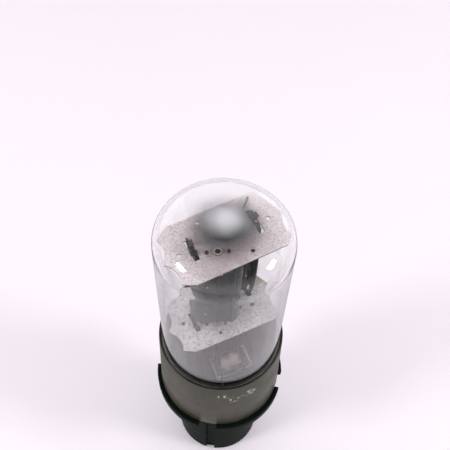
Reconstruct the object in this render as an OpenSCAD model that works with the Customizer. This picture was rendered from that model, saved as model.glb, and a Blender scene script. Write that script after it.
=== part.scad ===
// Octal twin-triode radio tube, plugged into a moulded in-line socket that stands on a surface.
// Millimetres. The origin is the centre of the socket's bottom face, and +Z runs up the tube.
// +X is the long axis of the mica plates. The tube pulls out of the socket along +Z.

/* [Socket] */
// Outer radius of the socket body and its back cap
socket_r = 12.5; // [12.2:0.1:13]
// Height of the flange's underside above the surface
flange_z = 34; // [30:1:40]
// Outer radius of the flange
flange_r = 17.85; // [17.4:0.05:18.4]
// Thickness of the flange
flange_t = 3.6; // [3:0.2:5]
// Bevel on the flange's lower edge
flange_bevel = 0.8; // [0.2:0.1:1.2]
// Width of the four notches in the flange
notch_w = 5; // [3:0.5:6]
// Depth of the four notches in the flange
notch_depth = 2.2; // [1:0.1:3]
// Angle of the first notch from the long axis of the micas
notch_turn = 51; // [40:1:60]
// Width of the flutes that run down the socket
flute_w = 2.6; // [1.5:0.1:3]
// Depth of the flutes
flute_depth = 0.9; // [0.4:0.1:1]
// Height of the back cap
cap_h = 20; // [18:1:22]
// Wall of the back cap
cap_wall = 1.3; // [1.2:0.1:1.5]
// Thickness of the back cap's floor
cap_floor = 2.4; // [2:0.2:3]
// Inside radius of the rubber grommet for the cable
cable_r = 3; // [2.5:0.1:3.2]

/* [Base] */
// Radius of the circle that the eight pins stand on
pin_circle_r = 8.73; // [8.7:0.01:8.76]
// Radius of a pin
pin_r = 1.18; // [1.17:0.01:1.2]
// Length of a pin below the base
pin_len = 11.1; // [10:0.1:11.5]
// Radius of the locating spigot
spigot_r = 3.95; // [3.9:0.01:4]
// Length of the locating spigot below the base
spigot_len = 14.3; // [13:0.1:14.5]
// Width of the spigot's key
key_w = 1.9; // [1.6:0.1:2.2]
// Height of the key above the spigot
key_h = 1; // [0.8:0.1:1.2]
// Outer radius of the base sleeve at its foot
sleeve_foot_r = 16.7; // [16.5:0.05:16.9]
// Outer radius of the base sleeve at its rim
sleeve_rim_r = 16; // [15.9:0.05:16.2]
// Height of the base sleeve
sleeve_h = 24.3; // [22:0.1:26]
// Thickness of the wafer that holds the pins
wafer_t = 3.2; // [2.5:0.1:4]

/* [Bulb] */
// Outer radius of the glass
bulb_r = 15; // [14.9:0.02:15.06]
// Thickness of the glass
glass_t = 0.7; // [0.7:0.1:1]
// Height where the dome starts
dome_z = 103.4; // [103:0.1:104]
// Rise of the dome
dome_rise = 8.25; // [8:0.05:9]
// Squareness of the dome's shoulder: 2 is an ellipse
dome_power = 2.38; // [2:0.02:2.6]
// Height of the glass stem's underside
stem_z = 44.2; // [43:0.1:45]
// Thickness of the glass stem
stem_t = 2.4; // [2:0.1:3]

/* [Micas] */
// Half of the width of a mica plate
mica_half_w = 7.5; // [7:0.1:7.6]
// Radius that the tips of a mica reach
mica_tip_r = 13.65; // [13.4:0.05:13.7]
// Radius of the bottom of the scallops between the tips
mica_scallop_r = 12.5; // [12:0.1:13]
// Thickness of a mica
mica_t = 0.35; // [0.25:0.05:0.5]
// Height of the top mica's upper face
top_mica_z = 105.4; // [105:0.1:105.6]
// Height of the bottom mica's upper face
bottom_mica_z = 74.2; // [73:0.1:76]
// Turn of the bottom mica's outline
bottom_mica_turn = -3; // [-5:1:0]

/* [Electrodes] */
// Place of the front system's cathode along the micas
front_x = -2.95; // [-3:0.05:-2.9]
// Place of the front system's cathode across the micas
front_y = -2.73; // [-2.8:0.01:-2.7]
// Turn of the two systems from the long axis of the micas
system_turn = -22.5; // [-24:0.5:-21]
// Width of an anode
anode_w = 10.8; // [10:0.1:11]
// Depth of an anode
anode_d = 4.4; // [4:0.1:4.6]
// Thickness of the anode sheet
anode_t = 0.25; // [0.2:0.05:0.3]
// Height of the anodes' lower edge
anode_z = 79.5; // [79:0.5:82]
// Height of an anode
anode_h = 22.5; // [20:0.5:23]
// Distance of the anodes' side wings from the tube's axis
wing_x = 7.35; // [7.2:0.05:7.5]
// Radius of a cathode sleeve
cathode_r = 0.8; // [0.75:0.01:0.85]
// Distance of a grid's side rods from its cathode
grid_reach = 2.24; // [2.1:0.02:2.4]
// Radius of a grid's side rods
grid_rod_r = 0.32; // [0.25:0.01:0.35]
// Number of turns in a grid
grid_turns = 15; // [10:1:20]
// Radius of the wires that come up from the stem
lead_r = 0.2; // [0.2:0.01:0.3]

/* [Getter] */
// Radius of the silvery getter film inside the dome
film_r = 8.2; // [7:0.1:9]
// Thickness that stands for the getter film
film_t = 0.12; // [0.1:0.02:0.2]
// Outer radius of the getter pan
pan_r = 2.5; // [2.2:0.1:3.4]

/* [Hidden] */

$fn = 96;
wire_fn = 24;
touch = 0.02;                       // gap between pieces that sit on each other
seat_gap = 0.1;                     // gap between the base and the socket
tube_z = flange_z + flange_t + seat_gap;
rim_z = tube_z + sleeve_h;
stem_top = stem_z + stem_t;
bulb_foot_z = stem_z + 0.3;
bulb_in_r = bulb_r - glass_t;
sleeve_in_r = bulb_r + 0.35;
wafer_r = sleeve_in_r - touch;
pin_bore_r = 0.75;
socket_hole_r = spigot_r + 0.08;
contact_in_r = pin_r + 0.05;
contact_out_r = pin_r + 0.35;
contact_top = flange_z + flange_t - 0.8;
contact_z = cap_h + 2;
tag_z = 12;
screw_r = 1;
screw_turns = [0, 180];
slot_w = 1.2;
slot_l = 5.2;
hole_gap = 0.05;                    // room round a rod in its mica hole
tab_rise = 1.1;                     // length of a wing tab above the top mica
tab_w = 1.3;
tab_y = 1.25;                       // distance of a wing's two tabs from its middle
tab_foot = 2;                       // how far the tabs reach below the bottom mica
mica_under = bottom_mica_z - mica_t;
rod_foot = 1.4;                     // how far the grid rods reach below the bottom mica
heater_foot = 3.4;
heater_leg_x = 0.3;
heater_r = 0.18;
pan_z = top_mica_z + 2.2;
trough_x = 1.5;
trough_y = -3.5;
trough_z = stem_top + 0.6;
trough_turn = -5;
trough_l = 10.2;
trough_w = 6.2;
trough_h = 1.3;
sheet_t = 0.2;

// Angle of a pin, counted anticlockwise from the key, which points along +X.
function pin_turn(i) = 22.5 + 45 * (i - 1);
function polar(r, a) = [r * cos(a), r * sin(a)];
// A place in the front system: x along its anode, y out through its face.
function front_at(x, y) = [front_x, front_y]
    + [x * cos(system_turn) - y * sin(system_turn), x * sin(system_turn) + y * cos(system_turn)];
function rear_at(x, y) = -front_at(x, y);
// Height of the dome's surface above its start at radius r, for a dome of radius big_r.
function dome_at(r, big_r, rise) = rise * pow(max(0, 1 - pow(r / big_r, dome_power)), 1 / dome_power);
// Points up the dome from its edge to its top.
function dome_points(big_r, rise, steps = 20) =
    [for (i = [0 : steps]) let (r = big_r * cos(90 * i / steps)) [r, dome_z + dome_at(r, big_r, rise)]];
function reversed(list) = [for (i = [len(list) - 1 : -1 : 0]) list[i]];
function raised(p, z) = [p.x, p.y, z];

// A straight round rod from point a to point b, carried on past each end by before and after.
module rod(a, b, r, before = 0, after = 0) {
    d = b - a;
    translate(a)
        rotate([0, acos(d.z / norm(d)), atan2(d.y, d.x)])
            translate([0, 0, -before])
                cylinder(h = norm(d) + before + after, r = r, $fn = wire_fn);
}

// A round wire through a list of points. Its straight stretches cross a little at each bend.
module wire(points, r) {
    last = len(points) - 2;
    for (i = [0 : last])
        rod(points[i], points[i + 1], r, i == 0 ? 0 : 0.5 * r, i == last ? 0 : 0.5 * r);
}

// A flat outline with round ends, w wide and d deep.
module stadium(w, d) {
    square([w - d, d], center = true);
    for (s = [-1, 1]) translate([s * (w - d) / 2, 0]) circle(d = d);
}

// A rectangle with round corners.
module round_rect(w, h, r) {
    square([w - 2 * r, h], center = true);
    square([w, h - 2 * r], center = true);
    for (x = [-1, 1], y = [-1, 1])
        translate([x * (w / 2 - r), y * (h / 2 - r)]) circle(r = r);
}

module in_front() {
    translate([front_x, front_y, 0]) rotate([0, 0, system_turn]) children();
}

module in_rear() {
    rotate([0, 0, 180]) in_front() children();
}

// ---- glass ----

module glass_bulb() {
    outer = dome_points(bulb_r, dome_rise);
    inner = dome_points(bulb_in_r, dome_rise - glass_t);
    color([0.85, 0.88, 0.88, 0.3])
        rotate_extrude()
            polygon(concat([[bulb_in_r, bulb_foot_z], [bulb_r, bulb_foot_z]], outer, reversed(inner)));
}

// The metal film that the getter threw onto the inside of the dome.
module getter_film() {
    steps = 8;
    top_r = bulb_in_r - touch;
    low_r = top_r - film_t;
    top_rise = dome_rise - glass_t - touch;
    radii = [for (i = [0 : steps]) film_r * i / steps];
    color([0.45, 0.46, 0.47])
        rotate_extrude()
            polygon(concat(
                [for (r = radii) [r, dome_z + dome_at(r, top_r, top_rise)]],
                [for (r = reversed(radii)) [r, dome_z + dome_at(r, low_r, top_rise - film_t)]]
            ));
}

module glass_stem() {
    color([0.78, 0.82, 0.8, 0.5])
        difference() {
            union() {
                translate([0, 0, stem_z]) cylinder(h = stem_t, r = bulb_in_r - touch);
                for (i = [1 : 8])
                    translate(raised(polar(pin_circle_r, pin_turn(i)), stem_top - touch))
                        cylinder(h = 1.1, r1 = 1.1, r2 = 0.5, $fn = 32);
            }
            for (i = [1 : 8])
                translate(raised(polar(pin_circle_r, pin_turn(i)), stem_z - 1))
                    cylinder(h = stem_t + 3, r = lead_r + touch, $fn = wire_fn);
        }
}

// The glass tube that the air was pumped out through, melted shut at its tip.
module exhaust_tube() {
    out_r = 2.1;
    tip_z = tube_z - 8;
    color([0.8, 0.84, 0.82, 0.6])
        difference() {
            union() {
                translate([0, 0, tip_z]) cylinder(h = stem_z - touch - tip_z, r = out_r);
                translate([0, 0, tip_z]) sphere(r = out_r);
            }
            translate([0, 0, tip_z]) cylinder(h = stem_z, r = 1.2);
        }
}

// ---- mica plates ----

// The outline of a mica: straight long sides, two or three tips at each end, one corner cut off.
module mica_outline() {
    tip = mica_tip_r;
    far = mica_scallop_r + 4.9;
    difference() {
        polygon([
            [-9.8, -mica_half_w], [10.5, -mica_half_w], polar(tip, -25), polar(tip, 0),
            [10.9, mica_half_w - 0.2], [10.4, mica_half_w], [-9.9, mica_half_w],
            polar(tip, 157), polar(tip, 182), polar(tip, 207)
        ]);
        for (a = [-12.5, 169.5, 194.5]) translate(polar(far, a)) circle(r = 4.9);
    }
}

// The holes that both micas have: cathodes, grid rods and the slots for the anodes' wings.
module electrode_holes() {
    for (turn = [0, 180]) rotate([0, 0, turn]) {
        translate(front_at(0, 0)) circle(r = cathode_r + hole_gap);
        for (s = [-1, 1]) translate(front_at(s * grid_reach, 0)) circle(r = grid_rod_r + hole_gap);
        translate([-wing_x, 0]) square([slot_w, slot_l], center = true);
    }
}

module top_mica() {
    color([0.79, 0.75, 0.77])
        translate([0, 0, top_mica_z - mica_t])
            linear_extrude(mica_t)
                difference() {
                    mica_outline();
                    electrode_holes();
                    for (s = [-1, 1]) {
                        translate([s * 10.1, 0]) circle(r = 0.46);
                        translate([s * 3.5, -s * 5.5]) circle(r = 0.46);
                    }
                    translate([-1.7, 0.5]) square([0.6, 1], center = true);
                }
}

module bottom_mica() {
    color([0.76, 0.75, 0.76])
        translate([0, 0, mica_under])
            linear_extrude(mica_t)
                difference() {
                    rotate([0, 0, bottom_mica_turn]) mica_outline();
                    electrode_holes();
                    translate([-9.9, 0.8]) circle(r = 0.5);
                    translate([-3, -5.2]) circle(r = 0.45);
                    translate([2.1, -2.7]) circle(r = 0.4);
                    translate([4.5, -1.2]) rotate([0, 0, 60]) stadium(1.8, 0.7);
                }
}

// ---- electrodes ----

// A flattened tube of black sheet with pressed ribs, and a wing with tabs that hold it in the micas.
module anode() {
    rib_r = 0.35;
    rib_pitch = 3.3;
    corner_r = 2.4;
    wing_w = 4.6;
    tab_low = mica_under - tab_foot;
    tab_bend = 50;
    bend_z = top_mica_z + 0.3;
    in_front()
        intersection() {
            translate([0, 0, anode_z])
                linear_extrude(anode_h)
                    difference() {
                        union() {
                            stadium(anode_w, anode_d);
                            for (x = [-rib_pitch, 0, rib_pitch], s = [-1, 1])
                                translate([x, s * (anode_d / 2 - 0.1)]) circle(r = rib_r);
                        }
                        stadium(anode_w - 2 * anode_t, anode_d - 2 * anode_t);
                    }
            translate([0, anode_d, anode_z + anode_h / 2])
                rotate([90, 0, 0])
                    linear_extrude(2 * anode_d) round_rect(anode_w + 1, anode_h, corner_r);
        }
    translate([-wing_x - anode_t / 2, -wing_w / 2, anode_z]) cube([anode_t, wing_w, anode_h]);
    for (s = [-1, 1])
        translate([-wing_x - anode_t / 2, s * tab_y - tab_w / 2, 0]) {
            translate([0, 0, tab_low]) cube([anode_t, tab_w, bend_z + 0.1 - tab_low]);
            translate([0, 0, bend_z]) rotate([0, s * tab_bend, 0]) cube([anode_t, tab_w, tab_rise]);
        }
}

module front_anode() {
    color([0.13, 0.14, 0.15]) anode();
}

module rear_anode() {
    color([0.13, 0.14, 0.15]) rotate([0, 0, 180]) anode();
}

// Two side rods with a flat coil of fine wire round them.
module grid() {
    low = mica_under - rod_foot;
    coil_z = anode_z + 1;
    pitch = (anode_h - 2) / (grid_turns - 1);
    for (s = [-1, 1])
        translate([s * grid_reach, 0, low])
            cylinder(h = top_mica_z + 0.5 - low, r = grid_rod_r, $fn = wire_fn);
    for (i = [0 : grid_turns - 1])
        translate([0, 0, coil_z + i * pitch])
            linear_extrude(0.14)
                difference() {
                    stadium(2 * grid_reach + 0.3, 2.5);
                    stadium(2 * grid_reach, 2.24);
                }
}

module front_grid() {
    color([0.7, 0.68, 0.62]) in_front() grid();
}

module rear_grid() {
    color([0.7, 0.68, 0.62]) in_rear() grid();
}

module cathode() {
    low = mica_under - 1;
    translate([0, 0, low])
        difference() {
            cylinder(h = top_mica_z + 0.45 - low, r = cathode_r, $fn = 32);
            translate([0, 0, -1]) cylinder(h = 60, r = cathode_r - 0.15, $fn = 32);
        }
}

module front_cathode() {
    color([0.85, 0.84, 0.8]) in_front() cathode();
}

module rear_cathode() {
    color([0.85, 0.84, 0.8]) in_rear() cathode();
}

// A hairpin of coated heater wire inside the cathode.
module heater() {
    low = mica_under - heater_foot;
    high = top_mica_z - 0.4;
    x = heater_leg_x;
    wire([[-x, 0, low], [-x, 0, high], [x, 0, high], [x, 0, low]], heater_r);
}

module front_heater() {
    color([0.93, 0.92, 0.9]) in_front() heater();
}

module rear_heater() {
    color([0.93, 0.92, 0.9]) in_rear() heater();
}

// Two wires that join the two heaters below the bottom mica.
module heater_links() {
    z = mica_under - heater_foot - heater_r - 0.07;
    color([0.72, 0.72, 0.7])
        for (x = [-heater_leg_x, heater_leg_x])
            rod(raised(front_at(x, 0), z), raised(rear_at(-x, 0), z), heater_r);
}

// ---- getter ----

module getter_pan() {
    color([0.4, 0.4, 0.4])
        translate([0, 0, pan_z])
            difference() {
                cylinder(h = 0.9, r = pan_r);
                translate([0, 0, 0.25])
                    difference() {
                        cylinder(h = 1, r = pan_r - 0.25);
                        translate([0, 0, -1]) cylinder(h = 3, r = 1.2);
                    }
                translate([0, 0, -1]) cylinder(h = 3, r = 0.95);
            }
}

// A bent wire from a hole in the top mica to the underside of the getter pan.
module getter_support() {
    r = 0.25;
    z = top_mica_z + r + touch;
    top = pan_z - r - touch;
    color([0.5, 0.5, 0.5])
        wire([[8.9, 6.4, z], [5.5, 3.2, z + 0.3], [2.6, 1.4, top], [0, 0, top], [-2, -0.6, top]], r);
}

// ---- copper trough above the stem ----

module in_trough() {
    translate([trough_x, trough_y, trough_z]) rotate([0, 0, trough_turn]) children();
}

// A thin upright frame of sheet, open in the middle.
module trough_frame() {
    color([0.72, 0.68, 0.64])
        in_trough()
            linear_extrude(trough_h)
                difference() {
                    square([trough_l, trough_w], center = true);
                    square([trough_l - 2 * sheet_t, trough_w - 2 * sheet_t], center = true);
                }
}

// A half pipe of copper-coloured sheet between the frame's two long sides.
module copper_trough() {
    pipe_r = trough_w / 2 - sheet_t - touch;
    color([0.72, 0.5, 0.42])
        in_trough()
            translate([-3.9, 0, pipe_r])
                rotate([90, 0, 90])
                    linear_extrude(7.8)
                        difference() {
                            circle(r = pipe_r);
                            circle(r = pipe_r - sheet_t);
                            translate([-pipe_r - 1, -0.8]) square([2 * pipe_r + 2, pipe_r + 2]);
                        }
}

// Two bent posts that hold the frame up to the bottom mica.
module trough_posts() {
    post_r = 0.22;
    y = trough_y + trough_w / 2 + 2 * post_r + 0.15;
    low = trough_z + 0.1;
    top = mica_under - touch;
    feet = [[trough_x - 3.6, y], [trough_x + 2.6, y]];
    heads = [[-3.1, 2.2], [5.9, -1.2]];
    color([0.7, 0.7, 0.68])
        for (i = [0, 1])
            wire([raised(feet[i], low), raised(feet[i], low + 6), raised(heads[i], top - 8),
                  raised(heads[i], top)], post_r);
}

// ---- base ----

module base_sleeve() {
    lip = 0.5;
    color([0.36, 0.36, 0.3])
        rotate_extrude()
            polygon([
                [sleeve_in_r, tube_z], [sleeve_foot_r - lip, tube_z], [sleeve_foot_r, tube_z + lip],
                [sleeve_rim_r + 0.05, rim_z - lip], [sleeve_rim_r - 0.2, rim_z], [sleeve_in_r, rim_z]
            ]);
}

// The ring of cement that holds the glass in the sleeve.
module base_cement() {
    color([0.12, 0.12, 0.1])
        translate([0, 0, bulb_foot_z + 2])
            difference() {
                cylinder(h = rim_z - bulb_foot_z - 3, r = sleeve_in_r - touch);
                translate([0, 0, -1]) cylinder(h = 40, r = bulb_r + touch);
            }
}

// The disc that holds the pins, moulded in one piece with the keyed spigot.
module pin_wafer() {
    color([0.14, 0.12, 0.1])
        difference() {
            union() {
                translate([0, 0, tube_z]) cylinder(h = wafer_t, r = wafer_r);
                translate([0, 0, tube_z - spigot_len]) cylinder(h = spigot_len + 1, r = spigot_r);
                translate([0, -key_w / 2, tube_z - spigot_len])
                    cube([spigot_r + key_h, key_w, spigot_len + 1]);
            }
            translate([0, 0, tube_z - spigot_len + 1.2]) cylinder(h = spigot_len + 10, r = 2.7);
            for (i = [1 : 8])
                translate(raised(polar(pin_circle_r, pin_turn(i)), tube_z - 1))
                    cylinder(h = wafer_t + 2, r = pin_r + touch, $fn = 48);
        }
}

// Hollow pin i with a round tip.
module pin(i) {
    low = tube_z - pin_len;
    top = tube_z + wafer_t + 0.5;
    color([0.72, 0.7, 0.64])
        translate(raised(polar(pin_circle_r, pin_turn(i)), 0))
            difference() {
                union() {
                    translate([0, 0, low + pin_r]) cylinder(h = top - low - pin_r, r = pin_r, $fn = 48);
                    translate([0, 0, low + pin_r]) sphere(r = pin_r, $fn = 48);
                }
                translate([0, 0, low + pin_r]) cylinder(h = 40, r = pin_bore_r, $fn = 32);
            }
}

// Where each lead ends under the bottom mica: rear grid, rear cathode, rear heater, front anode,
// front grid, front cathode, front heater, rear anode.
side = cathode_r + lead_r + 0.1;
anode_tab = [-wing_x - 0.45, tab_y];
lead_ends = [
    rear_at(-grid_reach, 0), rear_at(0, -side), rear_at(heater_leg_x, 0), anode_tab,
    front_at(-grid_reach, 0), front_at(0, -side), front_at(heater_leg_x, 0), -anode_tab
];
under_rods = mica_under - rod_foot - 0.05;
under_heater = mica_under - heater_foot - 0.5;
lead_tops = [
    under_rods, under_rods, under_heater, under_rods, under_rods, under_rods, under_heater, under_rods
];

// Wire i from inside its pin, up through the stem and in under the bottom mica to its electrode.
module lead(i) {
    foot = polar(pin_circle_r, pin_turn(i));
    end = lead_ends[i - 1];
    top = lead_tops[i - 1];
    color([0.7, 0.66, 0.6])
        wire([
            raised(foot, tube_z - pin_len + 2), raised(foot, stem_top + 2.4),
            raised([foot.x * 0.8, foot.y * 0.45 + 1.6], top - 9), raised(end, top - 2), raised(end, top)
        ], lead_r);
}

// ---- socket ----

module flutes(z, h) {
    for (k = [0 : 3])
        rotate([0, 0, notch_turn + 90 * k])
            translate([socket_r - flute_depth, -flute_w / 2, z]) cube([3, flute_w, h]);
}

// The moulded insulator: a notched flange on a round body, with eight contact holes and a keyed hole.
module socket_body() {
    top = flange_z + flange_t;
    color([0.1, 0.11, 0.1])
        difference() {
            union() {
                translate([0, 0, cap_h]) cylinder(h = flange_z - cap_h + 1, r = socket_r);
                rotate_extrude()
                    polygon([
                        [0, flange_z], [flange_r - flange_bevel, flange_z],
                        [flange_r, flange_z + flange_bevel], [flange_r, top - 0.3], [flange_r - 0.3, top],
                        [0, top]
                    ]);
            }
            for (k = [0 : 3])
                rotate([0, 0, notch_turn + 90 * k])
                    translate([flange_r - notch_depth, -notch_w / 2, flange_z - 1])
                        cube([5, notch_w, flange_t + 2]);
            flutes(cap_h - 1, flange_z - cap_h + 1);
            translate([0, 0, cap_h - 1]) cylinder(h = 30, r = socket_hole_r);
            translate([0, -key_w / 2 - 0.1, cap_h - 1]) cube([spigot_r + key_h + 0.15, key_w + 0.2, 30]);
            for (i = [1 : 8])
                translate(raised(polar(pin_circle_r, pin_turn(i)), cap_h - 1))
                    cylinder(h = 30, r = contact_out_r + touch, $fn = 48);
            for (a = screw_turns)
                rotate([0, 0, a])
                    translate([pin_circle_r, 0, cap_h - 1]) cylinder(h = 8, r = screw_r + touch, $fn = 32);
        }
}

// The back cap: a deep cup that covers the solder tags.
module socket_cap() {
    color([0.12, 0.13, 0.12])
        difference() {
            union() {
                translate([0, 0, 0.6]) cylinder(h = cap_h - 0.6 - touch, r = socket_r);
                cylinder(h = 0.7, r1 = socket_r - 0.6, r2 = socket_r);
            }
            translate([0, 0, cap_floor]) cylinder(h = cap_h, r = socket_r - cap_wall);
            translate([0, 0, -1]) cylinder(h = 10, r = cable_r + 1 + touch);
            flutes(-1, cap_h + 2);
            for (a = screw_turns)
                rotate([0, 0, a])
                    translate([pin_circle_r, 0, 0]) {
                        translate([0, 0, -1]) cylinder(h = 10, r = screw_r + 0.1, $fn = 32);
                        translate([0, 0, -1]) cylinder(h = 2.3, r = 2 * screw_r + 0.1, $fn = 32);
                    }
        }
}

// Two long screws up through the cap into the body, with slotted heads.
module cap_screws() {
    color([0.6, 0.58, 0.5])
        for (a = screw_turns)
            rotate([0, 0, a])
                translate([pin_circle_r, 0, 0])
                    difference() {
                        union() {
                            translate([0, 0, 0.3]) cylinder(h = 1, r = 2 * screw_r, $fn = 32);
                            translate([0, 0, 1.2]) cylinder(h = cap_h + 4.5, r = screw_r, $fn = 32);
                        }
                        translate([-3, -0.25, -0.3]) cube([6, 0.5, 1]);
                    }
}

// A rubber bush in the cap's floor, where a cable would come in.
module cable_grommet() {
    color([0.08, 0.08, 0.08])
        difference() {
            union() {
                translate([0, 0, 0.2]) cylinder(h = 3.8, r = cable_r + 1);
                translate([0, 0, cap_floor + touch]) cylinder(h = 1.4, r = cable_r + 2);
            }
            translate([0, 0, -1]) cylinder(h = 10, r = cable_r);
        }
}

// Spring sleeve i that grips a pin, with a flat solder tag below it.
module contact(i) {
    tag_w = 1.9;
    color([0.75, 0.62, 0.36])
        rotate([0, 0, pin_turn(i)])
            translate([pin_circle_r, 0, 0]) {
                translate([0, 0, contact_z])
                    difference() {
                        cylinder(h = contact_top - contact_z, r = contact_out_r, $fn = 48);
                        translate([0, 0, 1]) cylinder(h = 30, r = contact_in_r, $fn = 48);
                    }
                difference() {
                    translate([-0.2, -tag_w / 2, tag_z]) cube([0.4, tag_w, contact_z - tag_z + 0.3]);
                    translate([-1, 0, tag_z + 1.4]) rotate([0, 90, 0]) cylinder(h = 2, r = 0.5, $fn = 24);
                }
            }
}

glass_bulb();
getter_film();
getter_pan();
getter_support();
top_mica();
bottom_mica();
front_anode();
rear_anode();
front_grid();
rear_grid();
front_cathode();
rear_cathode();
front_heater();
rear_heater();
heater_links();
trough_frame();
copper_trough();
trough_posts();
glass_stem();
exhaust_tube();
base_sleeve();
base_cement();
pin_wafer();
for (i = [1 : 8]) pin(i);
for (i = [1 : 8]) lead(i);
socket_body();
socket_cap();
cap_screws();
cable_grommet();
for (i = [1 : 8]) contact(i);
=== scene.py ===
# %% [markdown]
# # A glass radio tube in its socket
# This is a lesson in building the looks of a small object around a finished CAD model. The object
# is an octal twin triode: two electrode systems between mica plates, in a glass bulb on a moulded
# base, plugged into a black in-line socket. The CAD model holds every size, so this script loads it
# first, gives each part its finish, and remakes the few parts whose shape needs a finer mesh.

# %% Load the frame
import random
from math import cos, pi, radians, sin

import bpy
from mathutils import Matrix, Vector


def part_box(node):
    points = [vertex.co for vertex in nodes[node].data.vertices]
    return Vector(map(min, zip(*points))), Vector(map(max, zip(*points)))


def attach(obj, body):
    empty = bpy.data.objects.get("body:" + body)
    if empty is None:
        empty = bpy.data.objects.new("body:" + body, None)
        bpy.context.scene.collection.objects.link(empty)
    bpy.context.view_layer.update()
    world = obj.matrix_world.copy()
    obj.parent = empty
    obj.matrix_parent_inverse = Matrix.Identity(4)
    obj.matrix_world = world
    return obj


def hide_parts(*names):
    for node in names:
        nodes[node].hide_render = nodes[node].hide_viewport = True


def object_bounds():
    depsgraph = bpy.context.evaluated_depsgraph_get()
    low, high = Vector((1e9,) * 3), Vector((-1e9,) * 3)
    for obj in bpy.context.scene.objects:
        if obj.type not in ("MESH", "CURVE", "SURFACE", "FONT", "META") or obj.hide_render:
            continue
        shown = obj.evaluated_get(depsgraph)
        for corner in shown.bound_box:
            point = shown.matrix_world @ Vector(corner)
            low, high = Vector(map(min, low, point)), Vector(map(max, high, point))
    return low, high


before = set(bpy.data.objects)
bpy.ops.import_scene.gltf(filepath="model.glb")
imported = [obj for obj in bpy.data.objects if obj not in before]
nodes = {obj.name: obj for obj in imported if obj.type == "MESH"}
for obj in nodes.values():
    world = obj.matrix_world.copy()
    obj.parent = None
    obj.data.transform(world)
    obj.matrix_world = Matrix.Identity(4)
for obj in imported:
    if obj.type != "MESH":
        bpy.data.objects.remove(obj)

cad_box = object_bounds()
MM = 0.001
print("the CAD model has", len(nodes), "parts and is", round(cad_box[1].z / MM, 1), "mm tall")

# %% [markdown]
# ## Camera
# The object is looked down on from above and a little to its left, from close by, so its top looks
# larger than its foot. The camera could be placed by three coordinates, but a point to aim at, a
# distance and two angles are easier to think in. It aims just below the top of the glass.

# %% Camera
VIEW_TURN = radians(-29.5)
VIEW_DOWN = radians(55.26)
VIEW_ROLL = radians(2.18)
VIEW_DISTANCE = 128.8 * MM
AIM_BELOW_TOP = 2.0 * MM
LENS, SENSOR_WIDTH = 52.04, 36
NEAREST_SEEN = 5 * MM
aim = Vector((0, 0, cad_box[1].z - AIM_BELOW_TOP))
back = Vector((sin(VIEW_TURN) * cos(VIEW_DOWN), -cos(VIEW_TURN) * cos(VIEW_DOWN), sin(VIEW_DOWN)))
camera = bpy.data.objects.new("camera", bpy.data.cameras.new("camera"))
bpy.context.scene.collection.objects.link(camera)
camera.data.lens = LENS
camera.data.sensor_width = SENSOR_WIDTH
camera.data.clip_start = NEAREST_SEEN
camera.location = aim + back * VIEW_DISTANCE
camera.rotation_mode = "QUATERNION"
roll = Matrix.Rotation(VIEW_ROLL, 3, "Z").to_quaternion()
camera.rotation_quaternion = (-back).to_track_quat("-Z", "Y") @ roll
bpy.context.scene.camera = camera
print("the camera stands at", [round(v / MM, 1) for v in camera.location], "mm")

# %% [markdown]
# ## Colours and nodes
# Shader colours are linear light, but people pick colours as sRGB hex values, so one function turns
# one into the other. A second function adds a shader node with its settings and what feeds it.
# Patterns follow Object coordinates, which are metres here, so a pattern's scale is a thousand
# divided by the size of its grain in millimetres. No real surface is one colour all over, so most
# finishes start as two tones that wander, and marks are then laid over them.

# %% Helpers for materials
FACTOR, FIRST, SECOND, MIXED = 0, 6, 7, 2


def colour(code):
    parts = [int(code[i:i + 2], 16) / 255 for i in (0, 2, 4)]
    return [v / 12.92 if v <= 0.04045 else ((v + 0.055) / 1.055) ** 2.4 for v in parts] + [1.0]


def add(tree, kind, feeds, **settings):
    node = tree.nodes.new("ShaderNode" + kind)
    for name, value in settings.items():
        setattr(node, name, value)
    for place, value in feeds.items():
        if isinstance(value, bpy.types.NodeSocket):
            tree.links.new(value, node.inputs[place])
        else:
            node.inputs[place].default_value = value
    return node


def grain(size_mm):
    return 1000 / size_mm


def finish(name, code, roughness, metallic=0.0, ior=1.5):
    made = bpy.data.materials.new(name)
    made.use_nodes = True
    shader = made.node_tree.nodes["Principled BSDF"]
    shader.inputs["Base Color"].default_value = colour(code)
    shader.inputs["Roughness"].default_value = roughness
    shader.inputs["Metallic"].default_value = metallic
    shader.inputs["IOR"].default_value = ior
    place = made.node_tree.nodes.new("ShaderNodeTexCoord").outputs["Object"]
    return made, made.node_tree, shader, place


def wear(name, light, dark, roughness, spread, size_mm, bump_um, metallic=0.0, ior=1.5, fine_mm=0.2):
    """A finish whose colour and gloss wander over patches of size_mm, with a fine bump."""
    made, tree, shader, place = finish(name, light, roughness, metallic, ior)
    patches = add(tree, "TexNoise", {"Vector": place, "Scale": grain(size_mm), "Detail": 5, "Roughness": 0.6})
    fine = add(tree, "TexNoise", {"Vector": place, "Scale": grain(fine_mm), "Detail": 3})
    tone = add(tree, "Mix", {FACTOR: patches.outputs["Fac"], FIRST: colour(dark), SECOND: colour(light)},
               data_type="RGBA")
    gloss = add(tree, "MapRange", {"Value": patches.outputs["Fac"], "From Min": 0.3, "From Max": 0.7,
                                   "To Min": roughness - spread, "To Max": roughness + spread})
    bump = add(tree, "Bump", {"Height": fine.outputs["Fac"], "Strength": 0.6, "Distance": bump_um * 1e-6})
    tree.links.new(tone.outputs[MIXED], shader.inputs["Base Color"])
    tree.links.new(gloss.outputs["Result"], shader.inputs["Roughness"])
    tree.links.new(bump.outputs["Normal"], shader.inputs["Normal"])
    return made


def overlay(made, mask, code):
    """Lays another colour over a finish where the mask is bright."""
    shader = made.node_tree.nodes["Principled BSDF"]
    under = shader.inputs["Base Color"].links[0].from_socket
    mixed = add(made.node_tree, "Mix", {FACTOR: mask, FIRST: under, SECOND: colour(code)}, data_type="RGBA")
    made.node_tree.links.new(mixed.outputs[MIXED], shader.inputs["Base Color"])


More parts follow.
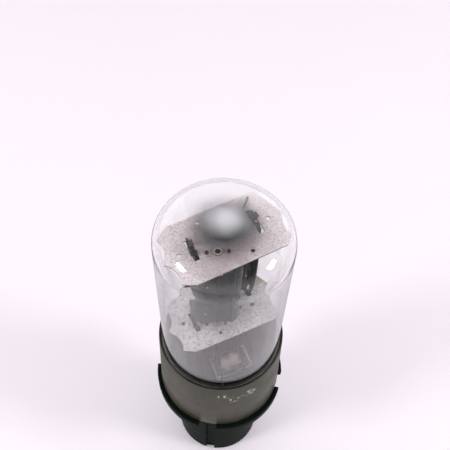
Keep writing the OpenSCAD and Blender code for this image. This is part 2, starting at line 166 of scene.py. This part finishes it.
def dress(material, *names):
    for name in names:
        slots = nodes[name].material_slots if name in nodes else bpy.data.objects[name].material_slots
        if not slots:
            bpy.data.objects[name].data.materials.append(material)
        for place in slots:
            place.material = material
    print(material.name, "covers", ", ".join(names))


print("mid grey 808080 is", round(colour("808080")[0], 3), "in linear light")

# %% [markdown]
# ## Floor and light
# The object stands in a tent of white cloth: a white floor, bright sides, a dimmer opening overhead
# and another where the camera looks in, and a lamp on each side. The world shader is bright at the
# horizon and dims towards both openings, and two rectangular area lights stand for the lamps, because
# they show as two small bright windows on the shoulder of the glass. Bare walls would outshine the
# glass in front of them, so where they are looked at, also through the glass, they are no brighter
# than the floor. A polarising filter would take some glare of the table off glass and plastic; here
# the floor is darker for mirrored rays.

# %% Floor and light
FLOOR_SIZE = 12.0
MIRRORED_FLOOR = "C8C4C8"
bpy.ops.object.select_all(action="DESELECT")
bpy.ops.mesh.primitive_plane_add(size=FLOOR_SIZE)
floor = bpy.context.object
floor.name = "floor"
floor_paint = wear("white_card", "FAF3FA", "F7F0F7", 0.7, 0.05, 60, 20)
path = add(floor_paint.node_tree, "LightPath", {})
mirrored = add(floor_paint.node_tree, "Math", {0: path.outputs["Is Glossy Ray"],
                                               1: path.outputs["Is Reflection Ray"]}, operation="MULTIPLY")
overlay(floor_paint, mirrored.outputs[0], MIRRORED_FLOOR)
dress(floor_paint, "floor")

# %% Walls and roof
WALL_LIGHT, ROOF_LIGHT, SEEN_LIGHT = 2.0, 0.45, 0.93
WALL_TOP, ROOF_EDGE = 0.4, 0.8
OPENING_EDGE, OPENING_INSIDE, OPENING_SHARE = 0.3, 0.9, 0.4
world = bpy.data.worlds.new("tent")
bpy.context.scene.world = world
world.use_nodes = True
tree = world.node_tree
direction = add(tree, "TexCoord", {})
height = add(tree, "SeparateXYZ", {0: direction.outputs["Generated"]})
dim = add(tree, "MapRange", {"Value": height.outputs["Z"], "From Min": WALL_TOP, "From Max": ROOF_EDGE,
                             "To Min": WALL_LIGHT, "To Max": ROOF_LIGHT}, interpolation_type="SMOOTHSTEP")
facing = add(tree, "VectorMath", {0: direction.outputs["Generated"], 1: back}, operation="DOT_PRODUCT")
shade = add(tree, "MapRange", {"Value": facing.outputs["Value"], "From Min": OPENING_EDGE,
                               "From Max": OPENING_INSIDE, "To Min": 1.0, "To Max": OPENING_SHARE},
            interpolation_type="SMOOTHSTEP")
strength = add(tree, "Math", {0: dim.outputs["Result"], 1: shade.outputs["Result"]}, operation="MULTIPLY")
path = add(tree, "LightPath", {})
looked_at = add(tree, "Math", {0: path.outputs["Is Camera Ray"], 1: path.outputs["Is Transmission Ray"]},
                operation="MAXIMUM")
plain = add(tree, "Math", {0: strength.outputs[0], 1: SEEN_LIGHT}, operation="MINIMUM")
shown = add(tree, "Mix", {0: looked_at.outputs[0], 2: strength.outputs[0], 3: plain.outputs[0]})
tree.links.new(shown.outputs[0], tree.nodes["Background"].inputs["Strength"])
tree.nodes["Background"].inputs["Color"].default_value = colour("FDFAFD")
print("the walls give", WALL_LIGHT, "and the roof", ROOF_LIGHT, "of the floor's own light")

# %% Two lamps
LAMP_DISTANCE = 0.6
LAMP_SIZE = (0.15, 0.11)
LAMP_POWER = 1.35
LAMPS = {"lamp_left": (-0.87, 0.09, 0.49), "lamp_right": (0.66, -0.58, 0.48)}
for name, towards in LAMPS.items():
    light = bpy.data.lights.new(name, "AREA")
    light.shape = "RECTANGLE"
    light.size, light.size_y = LAMP_SIZE
    light.energy = LAMP_POWER
    lamp = bpy.data.objects.new(name, light)
    bpy.context.scene.collection.objects.link(lamp)
    lamp.location = aim + Vector(towards).normalized() * LAMP_DISTANCE
    lamp.rotation_euler = Vector(towards).to_track_quat("Z", "Y").to_euler()
bpy.context.scene.view_settings.view_transform = "Standard"
print("two lamps of", LAMP_POWER, "W stand", LAMP_DISTANCE, "m away")

# %% [markdown]
# ## Turned shapes
# The bulb, the getter film and the base sleeve are all round about the tube's axis. Each could be a
# profile that is spun, but a glass blower grows a shape ring by ring, and that is as easy here: start
# from a circle, extrude its edge, and scale and raise each new ring to the next radius and height.

# %% Helper for turned shapes
def edit(piece):
    bpy.ops.object.select_all(action="DESELECT")
    piece.select_set(True)
    bpy.context.view_layer.objects.active = piece
    bpy.ops.object.mode_set(mode="EDIT")
    bpy.ops.mesh.select_all(action="SELECT")


def settle(piece, smooth=35):
    bpy.ops.mesh.select_all(action="SELECT")
    bpy.ops.mesh.remove_doubles(threshold=1e-6)
    bpy.ops.mesh.normals_make_consistent(inside=False)
    bpy.ops.object.mode_set(mode="OBJECT")
    bpy.ops.object.transform_apply(location=True, rotation=True, scale=True)
    bpy.ops.object.shade_smooth_by_angle(angle=radians(smooth))
    print(piece.name, "has", len(piece.data.polygons), "faces")


def turn_piece(name, profile, sides=96, pole=False):
    """Grows rings through (radius, height) pairs in mm. With pole, the last ring closes to a point."""
    radius, z = profile[0]
    bpy.ops.object.select_all(action="DESELECT")
    bpy.ops.mesh.primitive_circle_add(vertices=sides, radius=radius * MM, location=(0, 0, z * MM))
    piece = bpy.context.object
    piece.name = piece.data.name = name
    edit(piece)
    for next_radius, next_z in profile[1:]:
        bpy.ops.mesh.extrude_region_move(TRANSFORM_OT_translate={"value": (0, 0, (next_z - z) * MM)})
        share = next_radius / radius
        bpy.ops.transform.resize(value=(share, share, 1), center_override=(0, 0, next_z * MM))
        radius, z = next_radius, next_z
    if pole:
        bpy.ops.mesh.merge(type="CENTER")
    settle(piece)
    return piece


def apply(piece, kind, **settings):
    modifier = piece.modifiers.new(kind.lower(), kind)
    for name, value in settings.items():
        setattr(modifier, name, value)
    bpy.ops.object.select_all(action="DESELECT")
    piece.select_set(True)
    bpy.context.view_layer.objects.active = piece
    bpy.ops.object.modifier_apply(modifier=modifier.name)


print("turned shapes are grown ring by ring from a circle")

# %% [markdown]
# ## The bulb
# The bulb is a 30 mm tube of soda-lime glass, 0.7 mm thick, whose end was melted into a dome that is
# rounder than a ball's cap at the shoulder and flatter on top. A half ellipse would look too pointed,
# so the dome follows a superellipse. The wall is added by a Solidify modifier, because glass bends
# light right only when it has an inside as well as an outside.

# %% The bulb
GLASS_WALL = 0.7
DOME_RISE = 8.25
DOME_SQUARENESS = 2.38
WALL_RINGS, DOME_RINGS = 6, 28
POLE_R = 0.02
bulb_low, bulb_high = (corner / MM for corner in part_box("glass_bulb"))
BULB_R = bulb_high.x
DOME_Z = bulb_high.z - DOME_RISE


def dome(radius, big_r, rise):
    share = max(0.0, 1 - (radius / big_r) ** DOME_SQUARENESS)
    return DOME_Z + rise * share ** (1 / DOME_SQUARENESS)


def dome_profile(big_r, rise, steps, from_r=None):
    turns = [pi / 2 * i / steps for i in range(steps)]
    radii = [(from_r or big_r) * cos(t) for t in turns] + [POLE_R]
    return [(r, dome(r, big_r, rise)) for r in radii]


walls = [(BULB_R, bulb_low.z + (DOME_Z - bulb_low.z) * i / WALL_RINGS) for i in range(WALL_RINGS)]
bulb = turn_piece("bulb", walls + dome_profile(BULB_R, DOME_RISE, DOME_RINGS), sides=128, pole=True)
apply(bulb, "SOLIDIFY", thickness=GLASS_WALL * MM, offset=-1, use_even_offset=True)
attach(bulb, "tube")
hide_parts("glass_bulb")

# %% [markdown]
# ## The base sleeve
# The sleeve is a moulded cup without a bottom that tapers a little towards its rim, so that it came
# out of the mould. Its foot and its rim have soft lips. A straight tube with a bevel would do, but
# the lips catch the light all round, so each is a proper arc in the profile.

# %% The base sleeve
LIP_R = 0.5
RIM_R = 16.0
BULB_GAP = 0.35
sleeve_low, sleeve_high = (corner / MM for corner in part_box("base_sleeve"))
sleeve_in_r = BULB_R + BULB_GAP


def arc(centre_r, centre_z, radius, first, last, steps=6):
    turns = [radians(first + (last - first) * i / steps) for i in range(steps + 1)]
    return [(centre_r + radius * cos(t), centre_z + radius * sin(t)) for t in turns]


rim_lip = (RIM_R - sleeve_in_r) / 2
sleeve_profile = [(sleeve_in_r, sleeve_low.z)]
sleeve_profile += arc(sleeve_high.x - LIP_R, sleeve_low.z + LIP_R, LIP_R, -90, 0)
sleeve_profile += arc(RIM_R - rim_lip, sleeve_high.z - rim_lip, rim_lip, 0, 180, 10)
sleeve_profile += [(sleeve_in_r, sleeve_low.z)]
base_shell = turn_piece("base_shell", sleeve_profile, sides=128)
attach(base_shell, "tube")
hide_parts("base_sleeve")

# %% [markdown]
# ## Torn wing ends
# The side wings of the anodes come up through slots in the top mica, and their ends were pinched over
# it, so each slot shows a strip of torn black sheet. A row of plain tabs would look machined. Each
# strip is a flat grid that narrows towards one end and whose points are pulled about at random, and
# it is then given the sheet's thickness.

# %% Torn wing ends
WING_X = 7.35
SHEET = 0.12
TAPER = 0.85
RAGGED_SIDES = (0.65, 1.15)
CURL = 0.5
top_mica_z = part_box("top_mica")[1].z / MM
random.seed(7)


def torn_strip(name, side, centre_y, length, width):
    bpy.ops.object.select_all(action="DESELECT")
    place = [v * MM for v in (side * (WING_X - 0.1), centre_y, top_mica_z + SHEET)]
    bpy.ops.mesh.primitive_grid_add(x_subdivisions=2, y_subdivisions=14, size=1, location=place)
    strip = bpy.context.object
    strip.name = strip.data.name = name
    edit(strip)
    bpy.ops.transform.resize(value=(width * MM, length * MM, 1), center_override=place)
    bpy.ops.object.mode_set(mode="OBJECT")
    for point in strip.data.vertices:
        along = 2 * point.co.y / (length * MM)
        narrow = 1 - TAPER * max(0.0, -along * side) ** 1.5
        point.co.x = point.co.x * narrow * random.uniform(*RAGGED_SIDES)
        point.co.z += random.uniform(0, CURL) * MM * (0.3 + abs(along))
    edit(strip)
    settle(strip, smooth=60)
    apply(strip, "SOLIDIFY", thickness=SHEET * MM, offset=0)
    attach(strip, "tube")


torn_strip("front_wing_end", -1, 0.6, 4.6, 1.3)
torn_strip("rear_wing_end", 1, 0.6, 5.2, 1.5)

# %% [markdown]
# ## Glass
# The bulb is clear soda-lime glass, IOR 1.52, drawn as a tube and so a little rippled; the pressed stem
# is lead glass with a dark grey tint. Smooth glass gives the eye sharp reflections and a bent view of what is
# inside.
# A path tracer lights what is inside glass only slowly, so rays that carry lamp light, and those that
# scatter inside, go straight through instead: two Mix Shaders put in a Transparent shader for them.

# %% Glass materials
GLASS_IOR = 1.52
RIPPLE_MM, RIPPLE_HEIGHT = 6, 0.02 * MM


def glass(name, code, roughness):
    made, tree, shader, place = finish(name, code, roughness, ior=GLASS_IOR)
    shader.inputs["Transmission Weight"].default_value = 1.0
    ripple = add(tree, "TexNoise", {"Vector": place, "Scale": grain(RIPPLE_MM), "Detail": 1})
    bump = add(tree, "Bump", {"Height": ripple.outputs["Fac"], "Strength": 0.5, "Distance": RIPPLE_HEIGHT})
    tree.links.new(bump.outputs["Normal"], shader.inputs["Normal"])
    path = add(tree, "LightPath", {})
    clear = add(tree, "BsdfTransparent", {"Color": colour(code)}).outputs[0]
    lamps = add(tree, "MixShader", {0: path.outputs["Is Shadow Ray"], 1: shader.outputs[0], 2: clear})
    inside = add(tree, "MixShader", {0: path.outputs["Is Diffuse Ray"], 1: lamps.outputs[0], 2: clear})
    tree.links.new(inside.outputs[0], tree.nodes["Material Output"].inputs["Surface"])
    return made


dress(glass("soda_lime_glass", "FDFDFD", 0.0), "bulb")
dress(glass("pressed_stem_glass", "565B59", 0.06), "glass_stem", "exhaust_tube")

# %% [markdown]
# ## The getter film
# When the tube was made, a pan of barium was flashed off by an induction coil and plated the inside
# of the dome. The film is a bright mirror in the middle and dark and sooty around it, and it fades to
# a thin brown edge. Its bright middle is moved away from the camera and its dark ring towards it, and
# the ring is painted darker on that side: a painted reflection of the dim opening the camera looks in
# through. A painted patch on the glass could not be seen from below, so it is a skin just under the
# glass, whose cover falls off with distance from the axis.

# %% The getter film
FILM_R = 10.4
FILM_GAP = 0.06
FILM_RINGS = 18
inner_r = BULB_R - GLASS_WALL - FILM_GAP
film_profile = dome_profile(inner_r, DOME_RISE - GLASS_WALL - FILM_GAP, FILM_RINGS, from_r=FILM_R)
film = turn_piece("getter_mirror", film_profile, sides=96, pole=True)
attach(film, "tube")
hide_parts("getter_film")

# %% Flashed barium
CAMERA_SHIFT = 1.1
CAMERA_SIDE = Vector((-0.4924, -0.8704, 0))
CORE_MM, RING_MM = 0.4, 5.2
SOLID_MM, FADED_MM = 2.2, 9.0
BROWN_FROM_MM, BROWN_MM = 5.6, 7.6
made, tree, shader, place = finish("flashed_barium", "B9BABF", 0.34, metallic=0.45)
wander = add(tree, "TexNoise", {"Vector": place, "Scale": grain(4), "Detail": 4})
spread = add(tree, "MapRange", {"Value": wander.outputs["Fac"], "To Min": -0.8, "To Max": 0.8})


def from_axis(shift):
    """Ragged distance in millimetres from the tube's axis, once that is moved by shift towards the camera."""
    flat = add(tree, "Mapping", {"Vector": place, "Location": -CAMERA_SIDE * shift,
                                 "Scale": (grain(1), grain(1), 0)})
    distance = add(tree, "VectorMath", {0: flat.outputs[0]}, operation="LENGTH")
    ragged = add(tree, "Math", {0: distance.outputs["Value"], 1: spread.outputs["Result"]}, operation="ADD")
    return ragged.outputs[0]


# The bright middle sits away from the camera and the dark ring towards it: painted reflection.
mirror, soot = from_axis(-CAMERA_SHIFT / 2), from_axis(CAMERA_SHIFT)
dark = add(tree, "MapRange", {"Value": mirror, "From Min": CORE_MM, "From Max": RING_MM},
           interpolation_type="SMOOTHSTEP")
edge = add(tree, "MapRange", {"Value": soot, "From Min": BROWN_FROM_MM, "From Max": BROWN_MM},
           interpolation_type="SMOOTHSTEP")
# The ring is painted darker on the side facing the camera: a painted reflection of the dim camera side.
towards_camera = add(tree, "VectorMath", {0: place, 1: CAMERA_SIDE}, operation="DOT_PRODUCT")
camera_side_shade = add(tree, "MapRange", {"Value": towards_camera.outputs["Value"], "From Min": -1 * MM, "From Max": 5 * MM},
            interpolation_type="SMOOTHSTEP")
ring = add(tree, "Mix", {FACTOR: camera_side_shade.outputs[0], FIRST: colour("6E7378"), SECOND: colour("212529")},
           data_type="RGBA")
body = add(tree, "Mix", {FACTOR: dark.outputs[0], FIRST: colour("EFEDF2"), SECOND: ring.outputs[MIXED]},
           data_type="RGBA")
tree.links.new(body.outputs[MIXED], shader.inputs["Base Color"])
overlay(made, edge.outputs[0], "7C675C")
cover = add(tree, "MapRange", {"Value": soot, "From Min": SOLID_MM, "From Max": FADED_MM,
                               "To Min": 0.96, "To Max": 0.0}, interpolation_type="SMOOTHSTEP")
clear = add(tree, "BsdfTransparent", {})
seen = add(tree, "MixShader", {0: cover.outputs[0], 1: clear.outputs[0], 2: shader.outputs[0]})
tree.links.new(seen.outputs[0], tree.nodes["Material Output"].inputs["Surface"])
dress(made, "getter_mirror")

# %% [markdown]
# ## Mica
# The plates that space the electrodes are split mica. It is a pale mineral, and the tube maker sprayed
# it with magnesia so that no current leaks across it, which leaves a pinkish-grey bloom with fine
# specks. Painted textures would show every crumb, but two noises do as well, one for clouds and one
# for specks. The real specks are finer than can be seen from here, so they are drawn 0.3 to 0.6 mm
# wide. Soot from the getter and the hot anodes and a few stains lie over the bloom in soft patches
# round a point; the dark halo under the getter film and the one round the anodes on the lower plate
# are partly that soot and partly painted shade. The lower plate has darker tones, and the side faces
# of the plates are painted dark, as shade.

# %% Helper for soft patches
RAGGED_MM = 1.5


def near(made, centre, full_mm, none_mm, strength=1.0):
    """A mask that is strong within full_mm of a point and fades out at none_mm, with a ragged edge."""
    tree = made.node_tree
    place = tree.nodes["Texture Coordinate"].outputs["Object"]
    ragged = add(tree, "TexNoise", {"Vector": place, "Scale": grain(RAGGED_MM), "Detail": 4})
    centred = add(tree, "Mapping", {"Vector": place, "Location": [-v * MM for v in centre]})
    away = add(tree, "VectorMath", {0: centred.outputs[0]}, operation="LENGTH")
    fade = none_mm - full_mm
    reach = add(tree, "Math", {0: ragged.outputs["Fac"], 1: fade * MM, 2: away.outputs["Value"]},
                operation="MULTIPLY_ADD")
    mask = add(tree, "MapRange", {"Value": reach.outputs[0], "From Min": (full_mm + fade / 2) * MM,
                                  "From Max": (none_mm + fade / 2) * MM, "To Min": strength, "To Max": 0.0},
               interpolation_type="SMOOTHSTEP")
    return mask.outputs[0]


print("patches have an edge that wanders every", RAGGED_MM, "mm")

# %% Mica
SHADED_EDGE = "5E5655"


def mica_finish(name, pale, cloudy, speck, speck_mm):
    """Sprayed mica: clouds of two tones, fine dark specks, and side faces painted dark as shade."""
    made, tree, shader, place = finish(name, pale, 0.5, ior=1.58)
    clouds = add(tree, "TexNoise", {"Vector": place, "Scale": grain(4), "Detail": 6, "Roughness": 0.65})
    specks = add(tree, "TexNoise", {"Vector": place, "Scale": grain(speck_mm), "Detail": 3,
                                    "Roughness": 0.75})
    cloud = add(tree, "MapRange", {"Value": clouds.outputs["Fac"], "From Min": 0.35, "From Max": 0.7})
    spot = add(tree, "MapRange", {"Value": specks.outputs["Fac"], "From Min": 0.48, "From Max": 0.64})
    base = add(tree, "Mix", {FACTOR: cloud.outputs[0], FIRST: colour(pale), SECOND: colour(cloudy)},
               data_type="RGBA")
    tree.links.new(base.outputs[MIXED], shader.inputs["Base Color"])
    overlay(made, spot.outputs[0], speck)
    # Side faces are painted dark: painted shade along the plates' edges.
    shape = add(tree, "NewGeometry", {})
    upright = add(tree, "SeparateXYZ", {0: shape.outputs["True Normal"]})
    side = add(tree, "Math", {0: upright.outputs["Z"], 1: 0.0, 2: 0.4}, operation="COMPARE")
    overlay(made, side.outputs[0], SHADED_EDGE)
    bump = add(tree, "Bump", {"Height": specks.outputs["Fac"], "Strength": 0.5, "Distance": 30e-6})
    tree.links.new(bump.outputs["Normal"], shader.inputs["Normal"])
    return made


bottom_mica_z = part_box("bottom_mica")[1].z / MM
sprayed = mica_finish("sprayed_mica", "ECE0E4", "DCD0D3", "A99DA0", 0.3)
# Dark halo under the getter film: partly soot, partly painted shadow of the film.
overlay(sprayed, near(sprayed, (1, 1, top_mica_z), 5.5, 9.5, 0.55), "8E8281")
overlay(sprayed, near(sprayed, (3, 7, top_mica_z), 1.0, 4.0, 0.4), "8C7064")
overlay(sprayed, near(sprayed, (-3.5, -6, top_mica_z), 2.5, 7.0, 0.35), "9A8C8F")
dress(sprayed, "top_mica")
sooted_shaded_mica = mica_finish("sooted_and_shaded_mica", "D2CDD1", "ABA7AB", "7F7C7F", 0.6)
# Dark halo round the anodes' feet: partly soot, partly painted shade where they meet the plate.
overlay(sooted_shaded_mica, near(sooted_shaded_mica, (0, 1, bottom_mica_z), 5.0, 9.5, 0.5), "6E6C6F")
overlay(sooted_shaded_mica, near(sooted_shaded_mica, (12.5, 4, bottom_mica_z), 2.0, 6.0, 0.8), "6E6346")
dress(sooted_shaded_mica, "bottom_mica")

# %% [markdown]
# ## Metals inside the bulb
# The anodes are nickel sheet that was baked in soot so that it sheds heat: matt, nearly black, with a
# few bright crumbs of getter metal on it. The cathodes are nickel tubes whose cut ends shine, and the
# heaters in them are coloured dark grey as painted shade. Leads, posts and grid rods are wire gone dull
# and dark in the heat, the frame is bright nickel strip painted near-white as a painted sheen, and the
# trough in it is rolled copper that shows a soft pink gleam along its middle, a painted highlight.

# %% Carbonised anodes
def crumbs(made, apart_mm, size_mm):
    """A mask of small dots, about apart_mm from each other."""
    tree = made.node_tree
    place = tree.nodes["Texture Coordinate"].outputs["Object"]
    cells = add(tree, "TexVoronoi", {"Vector": place, "Scale": grain(apart_mm)})
    share = size_mm / apart_mm
    mask = add(tree, "MapRange", {"Value": cells.outputs["Distance"], "From Min": share / 2,
                                  "From Max": share, "To Min": 1.0, "To Max": 0.0})
    return mask.outputs[0]


carbon = wear("carbonised_nickel", "1E2225", "0C0E10", 0.5, 0.15, 3, 12, metallic=0.2)
overlay(carbon, crumbs(carbon, 2.2, 0.3), "C9C6BF")
dress(carbon, "front_anode", "rear_anode", "front_wing_end", "rear_wing_end")

# %% Cathodes and grids
ABOVE_RIM_MM = 0.9
RIM_SEEN_MM, RIM_GONE_MM = 1.22, 1.3
dress(wear("grid_wire", "3A3632", "211F1C", 0.5, 0.1, 1, 3, metallic=0.8), "front_grid", "rear_grid")
oxide = wear("oxide_nickel", "7E7A74", "5A5752", 0.45, 0.1, 1, 3, metallic=0.3)
for name in ("front_cathode", "rear_cathode"):
    low, high = (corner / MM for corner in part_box(name))
    above = ((low.x + high.x) / 2, (low.y + high.y) / 2, high.z + ABOVE_RIM_MM)
    overlay(oxide, near(oxide, above, RIM_SEEN_MM, RIM_GONE_MM), "F4F0E6")
dress(oxide, "front_cathode", "rear_cathode")
# The heaters' coating is white alumina; this dark grey is painted shade inside the cathodes.
dress(wear("heater_coating_painted_shade", "6F6B64", "4C4843", 0.8, 0.1, 0.5, 20), "front_heater", "rear_heater")

# %% Wires, frame and trough
GLEAM_OFFSETS, GLEAM_BACK = (-1.3, 1.3), 0.4
dress(wear("dull_nickel", "8E8A84", "5C5955", 0.45, 0.12, 2, 5, metallic=0.9),
      "getter_support", "heater_links")
dress(wear("heat_darkened_wire", "2E2C2A", "1A1918", 0.5, 0.12, 2, 5, metallic=0.8), "trough_posts",
      *[f"lead_{i}" for i in range(1, 9)])
dress(wear("getter_steel", "5A5654", "2E2B2A", 0.6, 0.15, 1.5, 10, metallic=0.7), "getter_pan")
# The nickel frame is painted near-white and not metallic, a painted sheen that shows its edges as bright
# lines.
dress(wear("frame_nickel_painted_sheen", "FFF9F2", "E9DFD7", 0.35, 0.1, 2, 4), "trough_frame")
copper = wear("warm_copper", "6E554D", "3F312D", 0.34, 0.12, 3, 5, metallic=0.2)
trough_low, trough_high = (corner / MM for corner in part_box("copper_trough"))
# Two pale spots along the trough's middle are a painted highlight.
for offset in GLEAM_OFFSETS:
    middle = (trough_low + trough_high) / 2 + Vector((offset, GLEAM_BACK, 0))
    overlay(copper, near(copper, middle, 0.9, 2.4, 0.95), "FFECE2")
dress(copper, "copper_trough")

# %% [markdown]
# ## The moulded parts
# The sleeve, wafer and socket are phenolic powder pressed hot in steel moulds, which gives a smooth,
# hard skin that goes dull with age. Phenolic has an IOR of 1.5, but handling has taken off most of
# its shine, so its specular level is set well under the usual half. The sleeve is an olive brown with
# a near-black inner rim and a few chalky scuffs; the rim is a mask on distance from the axis, and each
# scuff is a noise inside a soft patch. The cement is near-black, painted shade down in the gap round
# the glass, and pale grey at its top.

# %% Moulded parts
olive = wear("olive_phenolic", "3C3924", "252316", 0.36, 0.1, 6, 8)
black = wear("black_phenolic", "121C18", "0A100E", 0.25, 0.08, 6, 6)
for moulding, shine in ((olive, 0.38), (black, 0.008)):
    moulding.node_tree.nodes["Principled BSDF"].inputs["Specular IOR Level"].default_value = shine
print("the mouldings keep only a little of the shine of new plastic")

# %% Dark lip and chalky scuffs
SCUFF_MM = 1.1
SCUFFS = ((-7.0, -14.7, 57), (-4.2, -15.7, 54.5), (-0.6, -16.3, 56.5), (1.4, -16.2, 55.5))
tree = olive.node_tree
place = tree.nodes["Texture Coordinate"].outputs["Object"]
flat = add(tree, "Mapping", {"Vector": place, "Scale": (grain(1), grain(1), 0)})
distance = add(tree, "VectorMath", {0: flat.outputs[0]}, operation="LENGTH")
# The inner part of the rim top and the inside wall are coloured near-black.
lip = add(tree, "MapRange", {"Value": distance.outputs["Value"], "From Min": RIM_R - 0.1,
                             "From Max": RIM_R - 0.01, "To Min": 1.0, "To Max": 0.0})
chalk = add(tree, "TexNoise", {"Vector": place, "Scale": grain(SCUFF_MM), "Detail": 2, "Roughness": 0.5})
chalky = add(tree, "MapRange", {"Value": chalk.outputs["Fac"], "From Min": 0.55, "From Max": 0.72})
overlay(olive, lip.outputs[0], "12120D")
for scuff in SCUFFS:
    rubbed = add(tree, "Math", {0: chalky.outputs[0], 1: near(olive, scuff, 0.8, 2.2, 0.95)},
                 operation="MULTIPLY")
    overlay(olive, rubbed.outputs[0], "E6E5DC")
dress(olive, "base_shell")

# %% Cement, wafer and socket
PALE_FROM_MM, PALE_MM = 2.2, 1.2
# Near-black cement is painted shade in the gap round the glass; it turns pale grey towards the top.
cement = wear("cement", "12110F", "0B0A09", 0.8, 0.1, 1, 40)
place = cement.node_tree.nodes["Texture Coordinate"].outputs["Object"]
height = add(cement.node_tree, "SeparateXYZ", {0: place})
pale = add(cement.node_tree, "MapRange", {"Value": height.outputs["Z"],
                                          "From Min": (sleeve_high.z - PALE_FROM_MM) * MM,
                                          "From Max": (sleeve_high.z - PALE_MM) * MM})
overlay(cement, pale.outputs[0], "7E7D78")
dress(cement, "base_cement")
dress(wear("brown_phenolic", "2A211A", "1A1410", 0.35, 0.08, 5, 8), "pin_wafer")
dress(black, "socket_body", "socket_cap")
dress(wear("grommet_rubber", "17171A", "0E0E10", 0.65, 0.1, 2, 20), "cable_grommet")

# %% Pins, contacts and screws
dress(wear("tinned_brass", "C2BFB5", "8F8B7F", 0.35, 0.15, 1.2, 6, metallic=1.0),
      *[f"pin_{i}" for i in range(1, 9)])
dress(wear("phosphor_bronze", "B08D57", "8A6A3E", 0.35, 0.1, 2, 4, metallic=1.0),
      *[f"contact_{i}" for i in range(1, 9)])
dress(wear("zinc_steel", "A8A59B", "7C7A72", 0.35, 0.1, 1.5, 4, metallic=1.0), "cap_screws")
